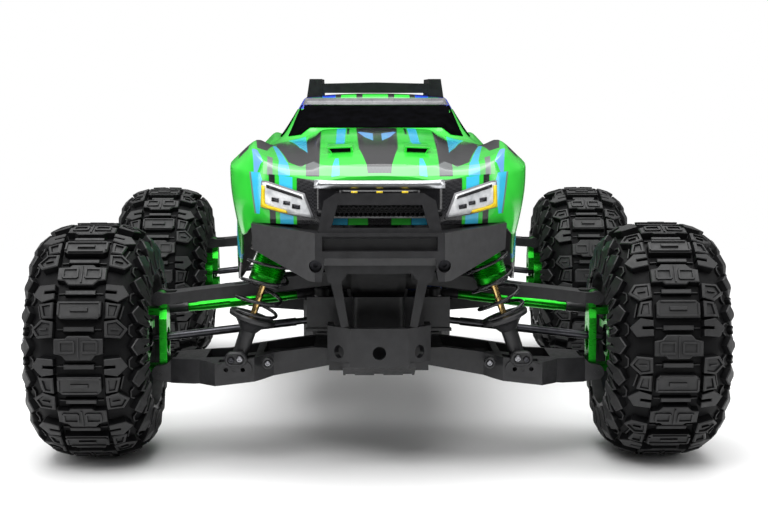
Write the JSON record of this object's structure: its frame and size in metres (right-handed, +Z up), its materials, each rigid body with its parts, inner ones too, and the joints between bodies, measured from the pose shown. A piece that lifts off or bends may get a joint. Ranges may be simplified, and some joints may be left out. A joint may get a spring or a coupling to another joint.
{
  "type": "radio-controlled monster truck",
  "caption": "Four-wheel-drive electric monster truck with knobbly tyres, double-wishbone suspension, coil-over dampers, rack steering and a lift-off painted body shell.",
  "frame": {"origin": "on the ground under the middle of the truck, halfway between its bumpers", "axes": "+Z up, -Y forwards out of the nose, +X towards the truck's left side"},
  "size_m": [0.464, 0.564, 0.2575],
  "materials": {
    "black_plastic": "matte moulded nylon",
    "motor_can": "anodised black",
    "case_plastic": "fine grain",
    "battery_wrap": "shrink wrap",
    "steel": "turned",
    "painted_shell": "clear polycarbonate painted inside",
    "gear_plastic": "moulded nylon",
    "gear_steel": "hobbed",
    "green_alloy": "anodised satin",
    "tyre": "matte rubber",
    "wheel_plastic": "satin moulded nylon",
    "damper_plastic": "satin",
    "spring_wire": "gloss black coat"
  },
  "bodies": {
    "chassis": {"chassis_tub": "black_plastic", "gearbox_housings": "black_plastic", "skid_plates": "black_plastic", "shock_towers": "black_plastic", "bumper_front": "black_plastic", "bumper_rear": "black_plastic", "motor": "motor_can", "esc": "case_plastic", "receiver_box": "case_plastic", "battery": "battery_wrap", "servo": "case_plastic", "fasteners": "steel"},
    "body_cover": {"body_shell": "painted_shell", "roof_skid": "black_plastic"},
    "drive_shaft": {"spur_gear": "gear_plastic", "centre_shaft": "steel"},
    "pinion": {"motor_pinion": "gear_steel"},
    "horn": {"servo_horn": "black_plastic"},
    "idler": {"idler_crank": "black_plastic"},
    "drag_link": {"drag_link": "black_plastic"},
    "toe_link_left": {"toe_link_left": "green_alloy"},
    "toe_link_right": {"toe_link_right": "green_alloy"},
    "lower_arm_front_left": {"lower_arm_front_left": "black_plastic"},
    "upper_arm_front_left": {"upper_arm_front_left": "black_plastic"},
    "caster_left": {"caster_block_left": "green_alloy"},
    "steering_left": {"steering_block_left": "green_alloy"},
    "wheel_front_left": {"tyre_front_left": "tyre", "rim_front_left": "wheel_plastic"},
    "half_shaft_front_left": {"half_shaft_front_left": "steel"},
    "shock_body_front_left": {"shock_body_front_left": "green_alloy"},
    "shock_rod_front_left": {"shock_rod_front_left": "damper_plastic", "shock_spring_front_left": "spring_wire"},
    "lower_arm_front_right": {"lower_arm_front_right": "black_plastic"},
    "upper_arm_front_right": {"upper_arm_front_right": "black_plastic"},
    "caster_right": {"caster_block_right": "green_alloy"},
    "steering_right": {"steering_block_right": "green_alloy"},
    "wheel_front_right": {"tyre_front_right": "tyre", "rim_front_right": "wheel_plastic"},
    "half_shaft_front_right": {"half_shaft_front_right": "steel"},
    "shock_body_front_right": {"shock_body_front_right": "green_alloy"},
    "shock_rod_front_right": {"shock_rod_front_right": "damper_plastic", "shock_spring_front_right": "spring_wire"},
    "lower_arm_rear_left": {"lower_arm_rear_left": "black_plastic"},
    "upper_arm_rear_left": {"upper_arm_rear_left": "black_plastic"},
    "carrier_left": {"axle_carrier_left": "green_alloy"},
    "wheel_rear_left": {"tyre_rear_left": "tyre", "rim_rear_left": "wheel_plastic"},
    "half_shaft_rear_left": {"half_shaft_rear_left": "steel"},
    "shock_body_rear_left": {"shock_body_rear_left": "green_alloy"},
    "shock_rod_rear_left": {"shock_rod_rear_left": "damper_plastic", "shock_spring_rear_left": "spring_wire"},
    "lower_arm_rear_right": {"lower_arm_rear_right": "black_plastic"},
    "upper_arm_rear_right": {"upper_arm_rear_right": "black_plastic"},
    "carrier_right": {"axle_carrier_right": "green_alloy"},
    "wheel_rear_right": {"tyre_rear_right": "tyre", "rim_rear_right": "wheel_plastic"},
    "half_shaft_rear_right": {"half_shaft_rear_right": "steel"},
    "shock_body_rear_right": {"shock_body_rear_right": "green_alloy"},
    "shock_rod_rear_right": {"shock_rod_rear_right": "damper_plastic", "shock_spring_rear_right": "spring_wire"}
  },
  "joints": [
    {"name": "susp_front_left", "type": "hinge", "parent": "chassis", "child": "lower_arm_front_left", "pos_m": [0.027, -0.1845, 0.0728], "axis": [0, -1, 0], "range_deg": [-5, 18], "stiffness_Nm_per_rad": 10, "springref_deg": -8.02},
    {"name": "upper_arm_pivot_front_left", "type": "hinge", "parent": "chassis", "child": "upper_arm_front_left", "pos_m": [0.027, -0.1845, 0.1228], "axis": [0, -1, 0], "range_deg": [-5, 18]},
    {"name": "hub_pivot_front_left", "type": "hinge", "parent": "lower_arm_front_left", "child": "caster_left", "pos_m": [0.148, -0.1845, 0.059], "axis": [0, -1, 0], "range_deg": [-18, 5]},
    {"name": "half_shaft_swing_front_left", "type": "hinge", "parent": "chassis", "child": "half_shaft_front_left", "pos_m": [0.039, -0.1845, 0.0938], "axis": [0, -1, 0], "range_deg": [-5, 18]},
    {"name": "shock_swing_front_left", "type": "hinge", "parent": "chassis", "child": "shock_body_front_left", "pos_m": [0.06, -0.2145, 0.168], "axis": [0, -1, 0], "range_deg": [-1.14, 4.11]},
    {"name": "shock_stroke_front_left", "type": "slide", "parent": "shock_body_front_left", "child": "shock_rod_front_left", "axis": [-0.3246, 0, 0.9459], "range_m": [-0.00561, 0.02019], "deforming": ["shock_spring_front_left"]},
    {"name": "steering", "type": "hinge", "parent": "caster_left", "child": "steering_left", "pos_m": [0.16, -0.1845, 0.08], "axis": [0, 0, 1], "range_deg": [-30, 30]},
    {"name": "toe_link_swing_left", "type": "hinge", "parent": "drag_link", "child": "toe_link_left", "pos_m": [0.039, -0.1585, 0.1088], "axis": [0, -1, 0], "range_deg": [-5, 18]},
    {"name": "wheel_spin_front_left", "type": "hinge", "parent": "steering_left", "child": "wheel_front_left", "pos_m": [0.19, -0.1845, 0.08], "axis": [1, 0, 0], "continuous": true},
    {"name": "susp_front_right", "type": "hinge", "parent": "chassis", "child": "lower_arm_front_right", "pos_m": [-0.027, -0.1845, 0.0728], "axis": [0, 1, 0], "range_deg": [-5, 18], "stiffness_Nm_per_rad": 10, "springref_deg": -8.02},
    {"name": "upper_arm_pivot_front_right", "type": "hinge", "parent": "chassis", "child": "upper_arm_front_right", "pos_m": [-0.027, -0.1845, 0.1228], "axis": [0, 1, 0], "range_deg": [-5, 18]},
    {"name": "hub_pivot_front_right", "type": "hinge", "parent": "lower_arm_front_right", "child": "caster_right", "pos_m": [-0.148, -0.1845, 0.059], "axis": [0, 1, 0], "range_deg": [-18, 5]},
    {"name": "half_shaft_swing_front_right", "type": "hinge", "parent": "chassis", "child": "half_shaft_front_right", "pos_m": [-0.039, -0.1845, 0.0938], "axis": [0, 1, 0], "range_deg": [-5, 18]},
    {"name": "shock_swing_front_right", "type": "hinge", "parent": "chassis", "child": "shock_body_front_right", "pos_m": [-0.06, -0.2145, 0.168], "axis": [0, 1, 0], "range_deg": [-1.14, 4.11]},
    {"name": "shock_stroke_front_right", "type": "slide", "parent": "shock_body_front_right", "child": "shock_rod_front_right", "axis": [0.3246, 0, 0.9459], "range_m": [-0.00561, 0.02019], "deforming": ["shock_spring_front_right"]},
    {"name": "steering_right", "type": "hinge", "parent": "caster_right", "child": "steering_right", "pos_m": [-0.16, -0.1845, 0.08], "axis": [0, 0, 1], "range_deg": [-30, 30]},
    {"name": "toe_link_swing_right", "type": "hinge", "parent": "drag_link", "child": "toe_link_right", "pos_m": [-0.039, -0.1585, 0.1088], "axis": [0, 1, 0], "range_deg": [-5, 18]},
    {"name": "wheel_spin_front_right", "type": "hinge", "parent": "steering_right", "child": "wheel_front_right", "pos_m": [-0.19, -0.1845, 0.08], "axis": [1, 0, 0], "continuous": true},
    {"name": "susp_rear_left", "type": "hinge", "parent": "chassis", "child": "lower_arm_rear_left", "pos_m": [0.027, 0.1845, 0.0728], "axis": [0, -1, 0], "range_deg": [-5, 18], "stiffness_Nm_per_rad": 10, "springref_deg": -8.02},
    {"name": "upper_arm_pivot_rear_left", "type": "hinge", "parent": "chassis", "child": "upper_arm_rear_left", "pos_m": [0.027, 0.1845, 0.1228], "axis": [0, -1, 0], "range_deg": [-5, 18]},
    {"name": "hub_pivot_rear_left", "type": "hinge", "parent": "lower_arm_rear_left", "child": "carrier_left", "pos_m": [0.148, 0.1845, 0.059], "axis": [0, -1, 0], "range_deg": [-18, 5]},
    {"name": "half_shaft_swing_rear_left", "type": "hinge", "parent": "chassis", "child": "half_shaft_rear_left", "pos_m": [0.039, 0.1845, 0.0938], "axis": [0, -1, 0], "range_deg": [-5, 18]},
    {"name": "shock_swing_rear_left", "type": "hinge", "parent": "chassis", "child": "shock_body_rear_left", "pos_m": [0.06, 0.2145, 0.168], "axis": [0, -1, 0], "range_deg": [-1.14, 4.11]},
    {"name": "shock_stroke_rear_left", "type": "slide", "parent": "shock_body_rear_left", "child": "shock_rod_rear_left", "axis": [-0.3246, 0, 0.9459], "range_m": [-0.00561, 0.02019], "deforming": ["shock_spring_rear_left"]},
    {"name": "wheel_spin_rear_left", "type": "hinge", "parent": "carrier_left", "child": "wheel_rear_left", "pos_m": [0.19, 0.1845, 0.08], "axis": [1, 0, 0], "continuous": true},
    {"name": "susp_rear_right", "type": "hinge", "parent": "chassis", "child": "lower_arm_rear_right", "pos_m": [-0.027, 0.1845, 0.0728], "axis": [0, 1, 0], "range_deg": [-5, 18], "stiffness_Nm_per_rad": 10, "springref_deg": -8.02},
    {"name": "upper_arm_pivot_rear_right", "type": "hinge", "parent": "chassis", "child": "upper_arm_rear_right", "pos_m": [-0.027, 0.1845, 0.1228], "axis": [0, 1, 0], "range_deg": [-5, 18]},
    {"name": "hub_pivot_rear_right", "type": "hinge", "parent": "lower_arm_rear_right", "child": "carrier_right", "pos_m": [-0.148, 0.1845, 0.059], "axis": [0, 1, 0], "range_deg": [-18, 5]},
    {"name": "half_shaft_swing_rear_right", "type": "hinge", "parent": "chassis", "child": "half_shaft_rear_right", "pos_m": [-0.039, 0.1845, 0.0938], "axis": [0, 1, 0], "range_deg": [-5, 18]},
    {"name": "shock_swing_rear_right", "type": "hinge", "parent": "chassis", "child": "shock_body_rear_right", "pos_m": [-0.06, 0.2145, 0.168], "axis": [0, 1, 0], "range_deg": [-1.14, 4.11]},
    {"name": "shock_stroke_rear_right", "type": "slide", "parent": "shock_body_rear_right", "child": "shock_rod_rear_right", "axis": [0.3246, 0, 0.9459], "range_m": [-0.00561, 0.02019], "deforming": ["shock_spring_rear_right"]},
    {"name": "wheel_spin_rear_right", "type": "hinge", "parent": "carrier_right", "child": "wheel_rear_right", "pos_m": [-0.19, 0.1845, 0.08], "axis": [1, 0, 0], "continuous": true},
    {"name": "horn_swing", "type": "hinge", "parent": "chassis", "child": "horn", "pos_m": [-0.016, -0.1405, 0.104], "axis": [0, 0, 1], "range_deg": [-30, 30]},
    {"name": "idler_swing", "type": "hinge", "parent": "chassis", "child": "idler", "pos_m": [0.016, -0.1405, 0.104], "axis": [0, 0, 1], "range_deg": [-30, 30]},
    {"name": "drag_link_pivot", "type": "hinge", "parent": "horn", "child": "drag_link", "pos_m": [-0.016, -0.1145, 0.102], "axis": [0, 0, 1], "range_deg": [-30, 30]},
    {"name": "drive_spin", "type": "hinge", "parent": "chassis", "child": "drive_shaft", "pos_m": [0, 0.066, 0.0938], "axis": [0, 1, 0], "continuous": true},
    {"name": "pinion_spin", "type": "hinge", "parent": "chassis", "child": "pinion", "pos_m": [-0.026, 0.066, 0.0938], "axis": [0, 1, 0], "continuous": true},
    {"name": "body_lift", "type": "slide", "parent": "chassis", "child": "body_cover", "axis": [0, 0, 1], "range_m": [0, 0.12]}
  ],
  "couplings": [
    {"joint": "upper_arm_pivot_front_left", "follows": "susp_front_left", "ratio": 1},
    {"joint": "hub_pivot_front_left", "follows": "susp_front_left", "ratio": -1},
    {"joint": "half_shaft_swing_front_left", "follows": "susp_front_left", "ratio": 1},
    {"joint": "shock_swing_front_left", "follows": "susp_front_left", "ratio": 0.2281},
    {"joint": "shock_stroke_front_left", "follows": "susp_front_left", "m_per_rad": 0.06424},
    {"joint": "toe_link_swing_left", "follows": "susp_front_left", "ratio": 1},
    {"joint": "upper_arm_pivot_front_right", "follows": "susp_front_right", "ratio": 1},
    {"joint": "hub_pivot_front_right", "follows": "susp_front_right", "ratio": -1},
    {"joint": "half_shaft_swing_front_right", "follows": "susp_front_right", "ratio": 1},
    {"joint": "shock_swing_front_right", "follows": "susp_front_right", "ratio": 0.2281},
    {"joint": "shock_stroke_front_right", "follows": "susp_front_right", "m_per_rad": 0.06424},
    {"joint": "toe_link_swing_right", "follows": "susp_front_right", "ratio": 1},
    {"joint": "upper_arm_pivot_rear_left", "follows": "susp_rear_left", "ratio": 1},
    {"joint": "hub_pivot_rear_left", "follows": "susp_rear_left", "ratio": -1},
    {"joint": "half_shaft_swing_rear_left", "follows": "susp_rear_left", "ratio": 1},
    {"joint": "shock_swing_rear_left", "follows": "susp_rear_left", "ratio": 0.2281},
    {"joint": "shock_stroke_rear_left", "follows": "susp_rear_left", "m_per_rad": 0.06424},
    {"joint": "upper_arm_pivot_rear_right", "follows": "susp_rear_right", "ratio": 1},
    {"joint": "hub_pivot_rear_right", "follows": "susp_rear_right", "ratio": -1},
    {"joint": "half_shaft_swing_rear_right", "follows": "susp_rear_right", "ratio": 1},
    {"joint": "shock_swing_rear_right", "follows": "susp_rear_right", "ratio": 0.2281},
    {"joint": "shock_stroke_rear_right", "follows": "susp_rear_right", "m_per_rad": 0.06424},
    {"joint": "steering_right", "follows": "steering", "ratio": 1},
    {"joint": "horn_swing", "follows": "steering", "ratio": 1},
    {"joint": "idler_swing", "follows": "steering", "ratio": 1},
    {"joint": "drag_link_pivot", "follows": "steering", "ratio": -1},
    {"joint": "pinion_spin", "follows": "drive_spin", "ratio": -2.7143}
  ]
}
